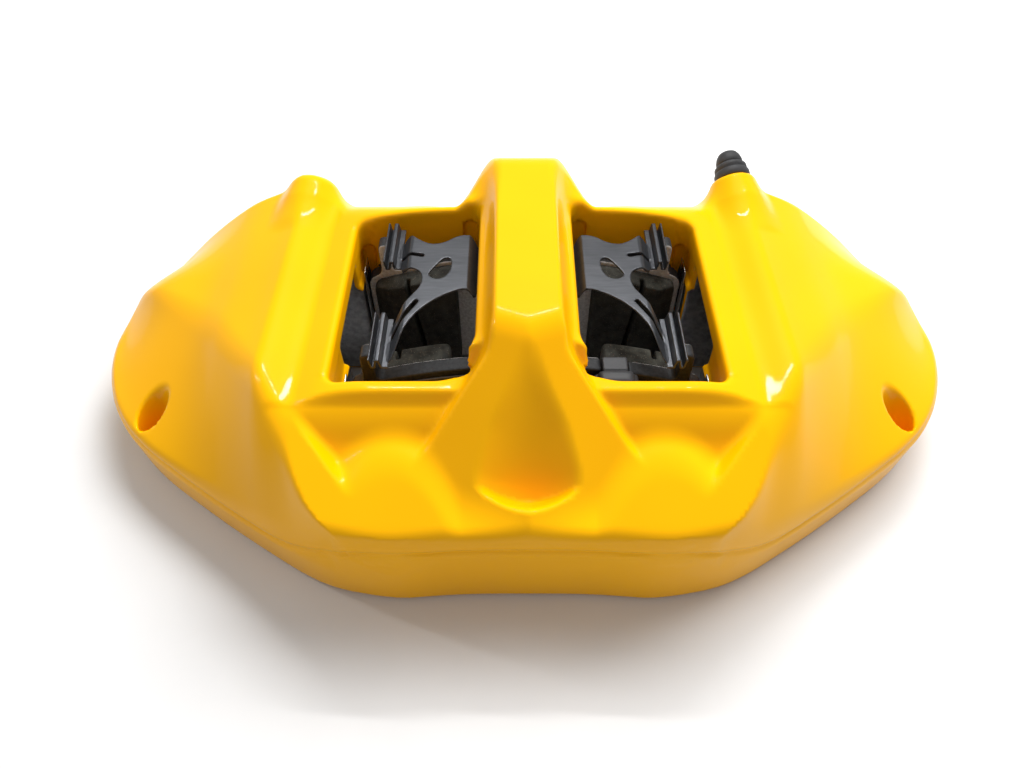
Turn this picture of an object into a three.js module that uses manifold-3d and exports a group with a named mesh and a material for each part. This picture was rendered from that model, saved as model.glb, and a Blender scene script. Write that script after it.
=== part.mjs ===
// A four-piston monobloc fixed brake caliper with its pads, for a 380 mm disc.
// Millimetres, +Z radially outwards from the disc, +Y towards the knuckle (inboard), X along the disc's rim.
// The parts are laid out with Y = 0 on the middle plane of the disc; the last lines move the finished
// assembly so that the origin is the middle of the bottom of its bounding box.
import * as THREE from 'three';
import { mergeVertices } from 'three/addons/utils/BufferGeometryUtils.js';
import Module from 'manifold-3d';

const wasm = await Module();
wasm.setup();

// ---------- driving dimensions ----------
const DISC_RADIUS = 190;
const DISC_THICKNESS = 34;
const DISC_AXIS_Z = -123;

const FRONT_Y = -92;
const REAR_Y = 67;

const SLOT_RADIUS = DISC_RADIUS + 3;
const SLOT_HALF_WIDTH = DISC_THICKNESS / 2 + 3;

// Radii of the upper surface about the disc's axis: round the windows, over the end bridges, and at the tips.
const RIM_RADIUS = 203;
const CROWN_RADIUS = 213;
const TIP_RADIUS = 227;

const BRIDGE_TOP_Z = 89;
const BRIDGE_HALF_WIDTH = 11;
const BRIDGE_BOTTOM_Z = 70;

const WINDOW = { inner: 17.5, outer: 66.5, front: -45, rear: 37, corner: 4, frontInnerCorner: 14 };
const PAD_BAY = { halfLength: 65, front: -44, rear: 36 };

const BORE_X = 44;
const BORE_Z = 32;
const BORE_RADIUS = 18;
const BORE_BOTTOM = { outboard: -80, inboard: 64 };
const HOUSING_REAR_Y = 72;
const HOUSING_RADIUS = 22;

const RUNNING_CLEARANCE = 0.1;
const REST_GAP = 0.3;

const SEAL_GROOVE = { radius: 20.6, width: 4.2, fromMouth: 8 };
const BOOT_SEAT = { radius: 20.8, depth: 5 };

const PLATE_THICKNESS = 6;
const PLATE_INNER_Y = 26;
const LINING_THICKNESS = 9;
const SHIM_THICKNESS = 0.8;
const STACK_GAP = 0.1;
const PISTON_FACE_Y = PLATE_INNER_Y + PLATE_THICKNESS + STACK_GAP + SHIM_THICKNESS + STACK_GAP;
const PISTON_LENGTH = 28;
const LINING = { inner: 27.5, outer: 61, bottomZ: 5, radius: 182 };

const LUG = { x: 112, z: 26, radius: 19, rearY: 74 };
const INSERT = { radius: 9, boreRadius: 5.1, length: 20 };

const BLEED_BASE = new THREE.Vector3(89, 68, 66);
const BLEED_AXIS = new THREE.Vector3(-0.10, 0.92, 0.38).normalize();
const BLEED_BOSS = { length: 26, rootRadius: 10, faceRadius: 8.4 };

const GALLERY_RADIUS = 2;
const GALLERY_Y = { outboard: -66, inboard: 50 };
const CROSSOVER = { x: -82, z: 57, plugY: 58 };
const INLET = { z: 30, bossRadius: 12, faceY: 78, threadRadius: 4.3, threadDepth: 14 };
const PLUG = { radius: 4.5, length: 7, socket: 2.3, socketDepth: 3.6 };
// The tilted pocket in each outboard tip, measured at its floor, with a through hole in the floor.
const TIP_POCKET = { x: 143.5, y: -33, z: 17, radius: 5.9, holeRadius: 2.6 };
const TIP_POCKET_AXIS = new THREE.Vector3(-0.12, 0.3, 0.94).normalize();
// Hollows cast into the underside of the four corners.
const HOLLOW = { inner: 92, outer: 114, inboardY: [28, 46], outboardY: [-57, -39], height: 14 };

const ROUND = 24;

// ---------- colours ----------
const FINISH = {
  paint: { color: 0xf6c400, roughness: 0.25, metalness: 0.0 },
  piston: { color: 0xb9bcc0, roughness: 0.3, metalness: 1.0 },
  rubber: { color: 0x1c1d1e, roughness: 0.7, metalness: 0.0 },
  plate: { color: 0x2a2c2e, roughness: 0.5, metalness: 0.3 },
  lining: { color: 0x3a3a33, roughness: 0.95, metalness: 0.0 },
  spring: { color: 0x4b4e52, roughness: 0.35, metalness: 0.7 },
  steel: { color: 0xa8abae, roughness: 0.35, metalness: 1.0 },
  stainless: { color: 0xc4c6c8, roughness: 0.3, metalness: 1.0 },
  plastic: { color: 0x202122, roughness: 0.5, metalness: 0.0 },
};

// ---------- solids ----------
function toSolid(geometry) {
  const plain = geometry.index ? geometry.clone() : geometry;
  plain.deleteAttribute('normal');
  plain.deleteAttribute('uv');
  const merged = mergeVertices(plain, 1e-4);
  return new wasm.Manifold(new wasm.Mesh({
    numProp: 3,
    vertProperties: new Float32Array(merged.attributes.position.array),
    triVerts: new Uint32Array(merged.index.array),
  }));
}

function toGeometry(solid) {
  const mesh = solid.getMesh();
  const geometry = new THREE.BufferGeometry();
  geometry.setAttribute('position', new THREE.BufferAttribute(mesh.vertProperties, 3));
  geometry.setIndex(new THREE.BufferAttribute(mesh.triVerts, 1));
  return geometry;
}

function part(name, solid, finish) {
  const mesh = new THREE.Mesh(toGeometry(solid), new THREE.MeshStandardMaterial(FINISH[finish]));
  mesh.name = name;
  return mesh;
}

function join(solids) {
  return solids.reduce((all, one) => all.add(one));
}

// A solid turned about the Y axis, from (radius, height) points whose ends lie on the axis or meet each other.
function turned(points, segments = ROUND) {
  const profile = points.map(([r, h]) => new THREE.Vector2(r, h));
  return new THREE.LatheGeometry(profile, segments);
}

function rod(radius, yFrom, yTo, x, z, segments = ROUND) {
  const low = Math.min(yFrom, yTo);
  const high = Math.max(yFrom, yTo);
  return toSolid(turned([[0, low], [radius, low], [radius, high], [0, high]], segments).translate(x, 0, z));
}

// A drilled hole, a pin or a tapered boss between any two points.
function drill(from, to, radius, segments = 12, endRadius = radius) {
  const length = from.distanceTo(to);
  const geometry = new THREE.CylinderGeometry(endRadius, radius, length, segments);
  const direction = new THREE.Vector3().subVectors(to, from).normalize();
  geometry.applyQuaternion(new THREE.Quaternion().setFromUnitVectors(new THREE.Vector3(0, 1, 0), direction));
  geometry.translate((from.x + to.x) / 2, (from.y + to.y) / 2, (from.z + to.z) / 2);
  return toSolid(geometry);
}

function block(x0, x1, y0, y1, z0, z1) {
  const geometry = new THREE.BoxGeometry(x1 - x0, y1 - y0, z1 - z0);
  return toSolid(geometry.translate((x0 + x1) / 2, (y0 + y1) / 2, (z0 + z1) / 2));
}

// A plan outline, drawn in X and Y, extruded upwards.
function prismUp(shape, z0, z1, curveSegments = 6) {
  const geometry = new THREE.ExtrudeGeometry(shape, { depth: z1 - z0, bevelEnabled: false, curveSegments });
  return toSolid(geometry.translate(0, 0, z0));
}

// A side outline, drawn in X and Z, extruded along Y.
function prismAlongY(shape, y0, y1, curveSegments = 24) {
  const geometry = new THREE.ExtrudeGeometry(shape, { depth: y1 - y0, bevelEnabled: false, curveSegments });
  return toSolid(geometry.rotateX(Math.PI / 2).translate(0, y1, 0));
}

function mirrorX(solid) {
  return solid.mirror([1, 0, 0]);
}

function mirrorY(solid) {
  return solid.mirror([0, 1, 0]);
}

// ---------- blending of heights ----------
function smoothstep(a, b, t) {
  return THREE.MathUtils.smoothstep(t, a, b);
}

function smoothMin(a, b, k) {
  const h = Math.max(k - Math.abs(a - b), 0) / k;
  return Math.min(a, b) - h * h * k / 4;
}

function smoothMax(a, b, k) {
  return -smoothMin(-a, -b, k);
}

function arch(radius, x) {
  return DISC_AXIS_Z + Math.sqrt(radius * radius - x * x);
}

// ---------- the casting ----------
// Plan outline, right half, from the middle of the outboard face round the tip to the middle of the rear.
const HALF_OUTLINE = [
  [0, FRONT_Y], [62, FRONT_Y], [75, -89], [102, -73.5], [137, -50], [152, -38], [163, -24],
  [171, -8], [174, 4], [174, 16], [171, 32], [164, 52], [154, REAR_Y], [0, REAR_Y],
];
const HALF_LENGTH = 174;
const FRONT_OUTLINE = HALF_OUTLINE.slice(0, 10);
const CREASE_Z = 25;
// The ridge between the end bridges and the outboard lobes, from the tip in to the lip.
const RIDGE = [[170, 38], [138, 19], [97, -26], [66, -80]];

// Distance in the plan to a convex run of edges, negative on the inner side.
function edgesDistance(points, u, y, blend) {
  const sides = points.slice(1).map(([bx, by], i) => {
    const [ax, ay] = points[i];
    return ((u - ax) * (by - ay) - (y - ay) * (bx - ax)) / Math.hypot(bx - ax, by - ay);
  });
  return sides.reduce((far, side) => smoothMax(far, side, blend));
}

// The arched upper surface: rim, end bridges and the swelling tips.
function archHeight(u, y) {
  const swelling = smoothstep(115, 165, u) * (1 - smoothstep(25, 66, y));
  const crownRadius = THREE.MathUtils.lerp(CROWN_RADIUS, TIP_RADIUS, swelling)
    + 2.5 * smoothstep(95, 120, u);
  const z = THREE.MathUtils.lerp(arch(RIM_RADIUS, u), arch(crownRadius, u), smoothstep(76, 93, u));
  return smoothMax(z, 27 - 0.25 * (u - 148), 6);
}

// The recess in front of the windows, between the two outboard lobes, with the piston housings' humps.
function recessHeight(u, y) {
  const lobe = (u - 96) * 0.868 - (y + 27) * 0.496;
  const floor = 49 + 3 * smoothstep(20, 34, u);
  const shelf = 69.8 + 20 * Math.max(smoothstep(-43, -34, y), smoothstep(72, 84, u));
  const rimSlope = smoothMin(70 + 1.15 * (y + 51), shelf, 2);
  const lobeSlope = floor + 1.9 * (lobe + 9);
  const hump = BORE_Z + Math.sqrt(Math.max(26.5 ** 2 - (u - BORE_X) ** 2, 1));
  return smoothMax(smoothMax(smoothMax(floor, rimSlope, 6), lobeSlope, 7), hump, 4);
}

// The bridge between the windows and the buttress at its outboard foot.
function bridgeHeight(u, y) {
  const across = u - BRIDGE_HALF_WIDTH;
  const flank = BRIDGE_TOP_Z - (2.7 - 1.55 * smoothstep(15, 50, y)) * across;
  const facet = 84 - 0.3125 * across + 0.78 * (y + 42);
  const foot = 84 - 1.78 * across - 0.58 * (y + 42);
  const sides = THREE.MathUtils.lerp(foot, flank, smoothstep(-47, -37, y));
  return smoothMin(smoothMin(BRIDGE_TOP_Z, facet, 4), sides, 2.5);
}

// Height of the cast upper surface over a plan point.
function crownHeight(x, y) {
  const u = Math.abs(x);
  // The lobes fall from the ridge to the crease along the front.
  const depth = -edgesDistance(FRONT_OUTLINE, u, y, 5);
  const fromRidge = -edgesDistance(RIDGE, u, y, 14);
  const share = Math.max(smoothMin((depth + 1) / Math.max(1, depth + fromRidge), 1, 0.12), 0);
  let z = CREASE_Z + (archHeight(u, y) - CREASE_Z) * share * (1.16 - 0.16 * share);
  const fall = 64 + 0.44 * (y + 57) + 20 * smoothstep(-54, -42, y);
  z = smoothMin(z, fall, 3);
  z = smoothMin(z, recessHeight(u, y), 3);
  z = smoothMax(z, bridgeHeight(u, y), 5);
  // The scoop down the middle of the buttress.
  const scoop = smoothMax(83 + 1.3 * (y + 47), 44 + 1.2 * Math.max(0, -77 - y), 6);
  z = smoothMin(z, scoop + (0.038 + 0.05 * smoothstep(-64, -44, y)) * u * u, 3);
  // The rear falls away behind the windows.
  const rear = 72.6 - 0.76 * (y - 42) + 24 * (1 - smoothstep(12, 28, u)) + 20 * smoothstep(72, 90, u);
  return smoothMin(z, rear, 5);
}

function outline(points) {
  const right = points.map(([x, y]) => new THREE.Vector2(x, y));
  const left = points.slice(1, -1).reverse().map(([x, y]) => new THREE.Vector2(-x, y));
  return new THREE.Shape([...right, ...left]);
}

const GRID_PITCH = 8;

function crownBlock() {
  const width = 2 * HALF_LENGTH + 2 * GRID_PITCH;
  const depth = REAR_Y - FRONT_Y + 2 * GRID_PITCH;
  const columns = Math.round(width / GRID_PITCH);
  const rows = Math.round(depth / GRID_PITCH);
  const geometry = new THREE.BoxGeometry(width, depth, 1, columns, rows, 1);
  geometry.translate(0, (REAR_Y + FRONT_Y) / 2, 0);
  const position = geometry.attributes.position;
  for (let i = 0; i < position.count; i += 1) {
    const top = crownHeight(position.getX(i), position.getY(i));
    position.setZ(i, position.getZ(i) > 0 ? Math.max(top, 2) : 0);
  }
  return toSolid(geometry);
}

// The arch-shaped slot that the disc runs in.
function discSlot() {
  const shape = new THREE.Shape();
  shape.absarc(0, DISC_AXIS_Z, SLOT_RADIUS, Math.PI * 0.15, Math.PI * 0.85, false);
  return prismAlongY(shape, -SLOT_HALF_WIDTH, SLOT_HALF_WIDTH, 28);
}

function windowCut() {
  const { inner, outer, front, rear, corner, frontInnerCorner } = WINDOW;
  const shape = new THREE.Shape();
  shape.absarc(inner + frontInnerCorner, front + frontInnerCorner, frontInnerCorner, Math.PI, Math.PI * 1.5);
  shape.absarc(outer - corner, front + corner, corner, -Math.PI / 2, 0);
  shape.absarc(outer - corner, rear - corner, corner, 0, Math.PI / 2);
  shape.absarc(inner + corner, rear - corner, corner, Math.PI / 2, Math.PI);
  return prismUp(shape, 40, 120);
}

function bore(sign) {
  const mouth = sign > 0 ? PAD_BAY.rear : PAD_BAY.front;
  const bottom = sign > 0 ? BORE_BOTTOM.inboard : BORE_BOTTOM.outboard;
  const seat = mouth + sign * BOOT_SEAT.depth;
  const groove = mouth + sign * SEAL_GROOVE.fromMouth;
  const grooveEnd = groove + sign * SEAL_GROOVE.width;
  const profile = [
    [0, mouth - sign], [BOOT_SEAT.radius, mouth - sign], [BOOT_SEAT.radius, seat], [BORE_RADIUS, seat],
    [BORE_RADIUS, groove], [SEAL_GROOVE.radius, groove], [SEAL_GROOVE.radius, grooveEnd],
    [BORE_RADIUS, grooveEnd], [BORE_RADIUS, bottom], [0, bottom],
  ];
  return toSolid(turned(sign > 0 ? profile : profile.reverse()));
}

function cornerHollow(signX, signY) {
  const { inner, outer, inboardY, outboardY, height } = HOLLOW;
  const [y0, y1] = signY > 0 ? inboardY : outboardY;
  return block(signX > 0 ? inner : -outer, signX > 0 ? outer : -inner, y0, y1, -1, height);
}

function tipPocket() {
  const floor = point(TIP_POCKET.x, TIP_POCKET.y, TIP_POCKET.z);
  const above = floor.clone().addScaledVector(TIP_POCKET_AXIS, 40);
  const below = floor.clone().addScaledVector(TIP_POCKET_AXIS, -30);
  const inside = floor.clone().addScaledVector(TIP_POCKET_AXIS, 1);
  return drill(floor, above, TIP_POCKET.radius, 20).add(drill(below, inside, TIP_POCKET.holeRadius, 16));
}

function point(x, y, z) {
  return new THREE.Vector3(x, y, z);
}

function alongBleed(distance) {
  return BLEED_BASE.clone().addScaledVector(BLEED_AXIS, distance);
}

function caliperBody() {
  let body = crownBlock().intersect(prismUp(outline(HALF_OUTLINE), -5, 120));
  // Inboard piston housings, mounting lugs, inlet boss and the two bosses above them.
  for (const side of [-1, 1]) {
    const housing = [
      [0, 40], [HOUSING_RADIUS + 2, 40], [HOUSING_RADIUS + 2, 62], [HOUSING_RADIUS - 8, HOUSING_REAR_Y],
      [0, HOUSING_REAR_Y],
    ];
    body = body.add(toSolid(turned(housing, 32).translate(side * BORE_X, 0, BORE_Z)));
    body = body.add(rod(LUG.radius, 40, LUG.rearY, side * LUG.x, LUG.z, 32));
  }
  body = body.add(rod(INLET.bossRadius, 40, INLET.faceY, 0, INLET.z, 32));
  const boss = drill(alongBleed(-BLEED_BOSS.length), alongBleed(0), BLEED_BOSS.rootRadius, 32,
    BLEED_BOSS.faceRadius);
  body = body.add(boss).add(mirrorX(boss));

  // The disc slot, the pad bay and the windows.
  body = body.subtract(discSlot());
  const { halfLength, front, rear } = PAD_BAY;
  body = body.subtract(block(-halfLength, halfLength, front, rear, -1, BRIDGE_BOTTOM_Z - 12));
  for (const side of [-1, 1]) {
    const low = Math.min(side * WINDOW.inner, side * halfLength);
    body = body.subtract(block(low, low + halfLength - WINDOW.inner, front, rear, 40, BRIDGE_BOTTOM_Z));
  }
  body = body.subtract(block(-WINDOW.inner - 1, WINDOW.inner + 1, front, rear, 40, BRIDGE_BOTTOM_Z));
  body = body.subtract(windowCut()).subtract(mirrorX(windowCut()));

  // Piston bores with their seal grooves and boot seats.
  for (const x of [-BORE_X, BORE_X]) {
    body = body.subtract(bore(1).translate([x, 0, BORE_Z])).subtract(bore(-1).translate([x, 0, BORE_Z]));
  }

  for (const signX of [-1, 1]) {
    for (const signY of [-1, 1]) {
      body = body.subtract(cornerHollow(signX, signY));
    }
  }
  body = body.subtract(tipPocket()).subtract(mirrorX(tipPocket()));

  // Threaded holes for the mounting inserts.
  for (const side of [-1, 1]) {
    body = body.subtract(rod(INSERT.radius + REST_GAP, LUG.rearY - INSERT.length - 1, LUG.rearY + 1,
      side * LUG.x, LUG.z, 24));
  }

  // Drilled galleries: one through each pair of bores, joined over the disc by the crossover.
  for (const y of Object.values(GALLERY_Y)) {
    body = body.subtract(drill(point(CROSSOVER.x, y, BORE_Z), point(BORE_X - 10, y, BORE_Z), GALLERY_RADIUS));
    body = body.subtract(drill(point(CROSSOVER.x, y, -1), point(CROSSOVER.x, y, CROSSOVER.z), GALLERY_RADIUS));
    body = body.subtract(drill(point(CROSSOVER.x, y, -1), point(CROSSOVER.x, y, PLUG.length + 1),
      PLUG.radius + REST_GAP, 24));
  }
  body = body.subtract(drill(point(CROSSOVER.x, GALLERY_Y.outboard, CROSSOVER.z),
    point(CROSSOVER.x, CROSSOVER.plugY, CROSSOVER.z), GALLERY_RADIUS));
  body = body.subtract(rod(PLUG.radius + REST_GAP, CROSSOVER.plugY - REST_GAP, REAR_Y + 1,
    CROSSOVER.x, CROSSOVER.z, 24));
  body = body.subtract(rod(INLET.threadRadius, INLET.faceY - INLET.threadDepth, INLET.faceY + 1, 0, INLET.z, 24));
  body = body.subtract(drill(point(0, GALLERY_Y.inboard, INLET.z), point(0, INLET.faceY, INLET.z), GALLERY_RADIUS));

  // The bleed screw's hole, and the drilling from its seat to the nearer inboard bore.
  body = body.subtract(drill(alongBleed(-14), alongBleed(2), 4 + REST_GAP, 24));
  body = body.subtract(drill(alongBleed(-22), alongBleed(0), 1.6));
  body = body.subtract(drill(alongBleed(-21), point(BORE_X + 6, 50, BORE_Z + 14), 1.6));
  return body;
}

// ---------- pistons, seals and boots ----------
function alongBore(sign, points) {
  return sign > 0 ? points : points.slice().reverse();
}

// A cup, open towards the pad, with a groove near its lip for the boot.
function piston(sign) {
  const radius = BORE_RADIUS - RUNNING_CLEARANCE;
  const face = sign * PISTON_FACE_Y;
  const at = (distance) => face + sign * distance;
  return toSolid(turned(alongBore(sign, [
    [0, at(22)], [radius - 4.5, at(22)], [radius - 4.5, at(0)], [radius - 1, at(0)], [radius - 1, at(3)],
    [radius - 2, at(3)], [radius - 2, at(5.5)], [radius, at(6.5)], [radius, at(PISTON_LENGTH - 1)],
    [radius - 1, at(PISTON_LENGTH)], [0, at(PISTON_LENGTH)],
  ])));
}

function ring(inner, outer, y0, y1) {
  const low = Math.min(y0, y1);
  const high = Math.max(y0, y1);
  return toSolid(turned([[inner, low], [outer, low], [outer, high], [inner, high], [inner, low]]));
}

function mouthOf(sign) {
  return sign > 0 ? PAD_BAY.rear : PAD_BAY.front;
}

function pistonSeal(sign) {
  const near = mouthOf(sign) + sign * (SEAL_GROOVE.fromMouth + REST_GAP);
  return ring(BORE_RADIUS - 0.05, SEAL_GROOVE.radius - REST_GAP, near, near + sign * (SEAL_GROOVE.width - 0.6));
}

// The boot's outer bead sits in the boot seat; its folds reach out to the piston's lip.
function dustBoot(sign) {
  const mouth = mouthOf(sign);
  const back = mouth + sign * (BOOT_SEAT.depth - REST_GAP);
  const lip = sign * (PISTON_FACE_Y + 3.4);
  return toSolid(turned(alongBore(sign, [
    [BOOT_SEAT.radius - REST_GAP, back], [BOOT_SEAT.radius - 2.4, back], [BORE_RADIUS + 0.2, lip + sign * 2],
    [BORE_RADIUS + 0.2, lip], [BOOT_SEAT.radius - 1.2, lip], [BOOT_SEAT.radius - REST_GAP, mouth],
    [BOOT_SEAT.radius - REST_GAP, back],
  ])));
}

// ---------- pads ----------
const PLATE_RADIUS = 183.5;
const PLATE_BOTTOM_Z = 2;
const PLATE_HALF_LENGTH = 63.8;
const EAR = { x: 55.5, halfWidth: 2.4, top: 66 };
const SENSOR = { x: 31, notch: 5, floor: 53.6, headHalfWidth: 6.5 };

// A pad outline between two heights along X: an arc concentric with the disc above, a straight edge below.
function sector(outerRadius, bottomZ, x0, x1) {
  const steps = 6;
  const top = Array.from({ length: steps + 1 }, (_, i) => {
    const x = THREE.MathUtils.lerp(x1, x0, i / steps);
    return new THREE.Vector2(x, arch(outerRadius, x));
  });
  return new THREE.Shape([new THREE.Vector2(x0, bottomZ), new THREE.Vector2(x1, bottomZ), ...top]);
}

function backingPlate(sign) {
  const y0 = sign > 0 ? PLATE_INNER_Y : -PLATE_INNER_Y - PLATE_THICKNESS;
  const y1 = y0 + PLATE_THICKNESS;
  const half = PLATE_HALF_LENGTH;
  const plate = sector(PLATE_RADIUS, PLATE_BOTTOM_Z, -half, half);
  let solid = prismAlongY(plate, y0, y1);
  for (const side of [-1, 1]) {
    const x = side * EAR.x;
    solid = solid.add(block(x - EAR.halfWidth, x + EAR.halfWidth, y0, y1, 40, EAR.top));
  }
  if (sign < 0) {
    solid = solid.subtract(block(SENSOR.x - SENSOR.notch, SENSOR.x + SENSOR.notch, y0 - 1, y1 + 1, SENSOR.floor, 80));
  }
  return solid;
}

// Each pad carries two separate blocks of friction material, chamfered at their outer ends.
function lining(sign, side) {
  const y0 = sign > 0 ? PLATE_INNER_Y - STACK_GAP - LINING_THICKNESS : -PLATE_INNER_Y + STACK_GAP;
  const { inner, outer, bottomZ, radius } = LINING;
  const blank = prismAlongY(sector(radius, bottomZ, inner, outer), y0, y0 + LINING_THICKNESS);
  const chamfer = new THREE.Shape([
    new THREE.Vector2(54, 0), new THREE.Vector2(66, 0), new THREE.Vector2(66, 9),
  ]);
  const face = sign > 0 ? y0 - 0.01 : y0 + LINING_THICKNESS + 0.01;
  let cut = prismUp(chamfer, -10, 80);
  if (sign < 0) {
    cut = mirrorY(cut);
  }
  const shaped = blank.subtract(cut.translate([0, face, 0]));
  return side > 0 ? shaped : mirrorX(shaped);
}

function shim(sign) {
  const gap = PLATE_INNER_Y + PLATE_THICKNESS + STACK_GAP;
  const y0 = sign > 0 ? gap : -gap - SHIM_THICKNESS;
  const sheet = prismAlongY(sector(181, 6, -61, 61), y0, y0 + SHIM_THICKNESS);
  if (sign > 0) {
    return sheet;
  }
  const { x, headHalfWidth, floor } = SENSOR;
  return sheet.subtract(block(x - headHalfWidth - 1, x + headHalfWidth + 1, y0 - 1, y0 + 2, floor - 2, 80));
}

function wearSensor() {
  const { x, notch, floor, headHalfWidth } = SENSOR;
  const outer = -PLATE_INNER_Y - PLATE_THICKNESS;
  const stem = block(x - notch + 0.4, x + notch - 0.4, outer - 1, -PLATE_INNER_Y - 0.5, floor + 0.4, 60);
  const head = block(x - headHalfWidth, x + headHalfWidth, outer - 8, outer - 1.2, floor - 0.6, 61);
  return stem.add(head).add(block(x - 3, x + 3, outer - 3, outer, floor + 1, 59));
}

// ---------- anti-rattle spring and abutments ----------
const SPRING = {
  thickness: 0.8, webZ: 71.2, strapZ: 67.9, bendX: 21,
  channelX: 50.2, channelHalfWidth: 3.4, channelHalfLength: 11.5, channelZ: 66.7, channelTop: 70.8,
  channelY: { inboard: 22.5, outboard: -27 },
};

function springWing() {
  // Plan of one wing: two arms spread from a web beside the bridge, with a notch between them.
  const wing = new THREE.Shape();
  wing.moveTo(SPRING.bendX, -6);
  wing.lineTo(SPRING.bendX, 28);
  wing.quadraticCurveTo(28, 30, 34, 24);
  wing.lineTo(47, 32);
  wing.lineTo(47, 19);
  wing.lineTo(39, 16);
  wing.lineTo(38, 8);
  wing.lineTo(48, -18);
  wing.lineTo(48, -34);
  wing.quadraticCurveTo(38, -6, SPRING.bendX + 1, -6);
  const drop = new THREE.Shape();
  drop.moveTo(29, 10);
  drop.lineTo(33, 7);
  drop.lineTo(36, 12);
  drop.lineTo(34, 18);
  const sheet = prismUp(wing, SPRING.webZ, SPRING.webZ + SPRING.thickness, 4);
  return sheet.subtract(prismUp(drop, SPRING.webZ - 1, SPRING.webZ + 2));
}

function springChannel(y) {
  const { thickness, channelX, channelHalfWidth, channelHalfLength, channelZ, channelTop } = SPRING;
  const y0 = y - channelHalfLength;
  const y1 = y + channelHalfLength;
  const left = channelX - channelHalfWidth;
  const right = channelX + channelHalfWidth;
  const walls = [channelX - thickness / 2, right - thickness];
  const standing = walls.map((x) => block(x, x + thickness, y0, y1, channelZ, channelTop));
  return join([...standing, block(left, right, y0, y1, channelZ, channelZ + thickness)]);
}

function padSpring() {
  const { bendX, strapZ, webZ, thickness, channelX, channelTop, channelY } = SPRING;
  const ramp = new THREE.Shape([
    new THREE.Vector2(bendX - 2.6, strapZ), new THREE.Vector2(bendX - 1.6, strapZ),
    new THREE.Vector2(bendX + 0.6, webZ), new THREE.Vector2(bendX + 0.6, webZ + thickness),
    new THREE.Vector2(bendX - 0.4, webZ + thickness), new THREE.Vector2(bendX - 2.6, strapZ + thickness),
  ]);
  const half = [
    springWing(),
    prismAlongY(ramp, -6, 28),
    springChannel(channelY.inboard),
    springChannel(channelY.outboard),
    block(45, channelX, 19.5, 32, channelTop, webZ + thickness),
    block(46, channelX, -34, -19, channelTop, webZ + thickness),
  ];
  const wing = join(half);
  return wing.add(mirrorX(wing)).add(block(-bendX + 1.8, bendX - 1.8, -2, 24, strapZ, strapZ + thickness));
}

// A stainless plate at each end of each pad, which the pad slides on.
function abutment(signX, signY) {
  const y0 = signY > 0 ? 22 : -41;
  const x0 = PAD_BAY.halfLength - REST_GAP - 0.6;
  const plate = block(x0, x0 + 0.6, y0, y0 + 13, 6, 54);
  return signX > 0 ? plate : mirrorX(plate);
}

// ---------- bleed screw, cap, inserts and plugs ----------
// Turned parts on the bleed screw's axis: heights run outwards from the boss's face.
function onBleedAxis(geometry) {
  const turn = new THREE.Quaternion().setFromUnitVectors(new THREE.Vector3(0, 1, 0), BLEED_AXIS);
  geometry.applyQuaternion(turn);
  return toSolid(geometry.translate(BLEED_BASE.x, BLEED_BASE.y, BLEED_BASE.z));
}

function bleedScrew() {
  const shank = onBleedAxis(turned([[0, -13.5], [1.5, -13.5], [3.9, -11.5], [3.9, 0.4], [4.6, 0.4], [4.6, 4.4],
    [2.6, 4.8], [2.6, 6.6], [3.2, 8.4], [2.4, 11], [0, 11]], 24));
  const hex = onBleedAxis(turned([[0, 0.4], [5.5, 0.4], [5.5, 4.4], [0, 4.4]], 6));
  return shank.add(hex).subtract(onBleedAxis(turned([[0, -10], [0.9, -10], [0.9, 12], [0, 12]], 8)));
}

// A moulded rubber cap, open at the bottom, over the nipple.
function bleedCap() {
  return onBleedAxis(turned([
    [6.6, 0.1], [7.4, 0.7], [7.4, 3.8], [6.6, 4.6], [5.9, 6.0], [6.2, 7.0], [5.9, 10.0], [4.6, 12.6], [2.4, 13.9],
    [0, 14.1], [0, 11.6], [3.6, 11.6], [3.6, 4.9], [5.8, 4.9], [5.8, 0.1], [6.6, 0.1],
  ], 24));
}

function mountInsert(side) {
  const front = LUG.rearY - INSERT.length;
  return ring(INSERT.boreRadius, INSERT.radius, front, LUG.rearY - REST_GAP).translate([side * LUG.x, 0, LUG.z]);
}

function hexPlug() {
  const { radius, length, socket, socketDepth } = PLUG;
  const plug = toSolid(turned([[0, 0], [radius - 0.6, 0], [radius, 0.6], [radius, length], [0, length]], 24));
  return plug.subtract(toSolid(turned([[0, -1], [socket, -1], [socket, socketDepth], [0, socketDepth]], 6)));
}

function galleryPlug(y) {
  return hexPlug().rotate([90, 0, 0]).translate([CROSSOVER.x, y, REST_GAP]);
}

function crossoverPlug() {
  const outerEnd = CROSSOVER.plugY + PLUG.length;
  return hexPlug().rotate([180, 0, 0]).translate([CROSSOVER.x, outerEnd, CROSSOVER.z]);
}

// ---------- the assembly ----------
const SIDES = [['outboard', -1], ['inboard', 1]];
const ENDS = [['left', -1], ['right', 1]];

const caliper = new THREE.Group();
caliper.add(part('caliper_body', caliperBody(), 'paint'));
for (const [sideName, sign] of SIDES) {
  caliper.add(part(`backing_plate_${sideName}`, backingPlate(sign), 'plate'));
  caliper.add(part(`shim_${sideName}`, shim(sign), 'plate'));
  for (const [endName, side] of ENDS) {
    const place = [side * BORE_X, 0, BORE_Z];
    const label = `${sideName}_${endName}`;
    caliper.add(part(`piston_${label}`, piston(sign).translate(place), 'piston'));
    caliper.add(part(`piston_seal_${label}`, pistonSeal(sign).translate(place), 'rubber'));
    caliper.add(part(`dust_boot_${label}`, dustBoot(sign).translate(place), 'rubber'));
    caliper.add(part(`lining_${label}`, lining(sign, side), 'lining'));
    caliper.add(part(`abutment_plate_${label}`, abutment(side, sign), 'stainless'));
  }
  caliper.add(part(`gallery_plug_${sideName}`, galleryPlug(GALLERY_Y[sideName]), 'steel'));
}
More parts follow.
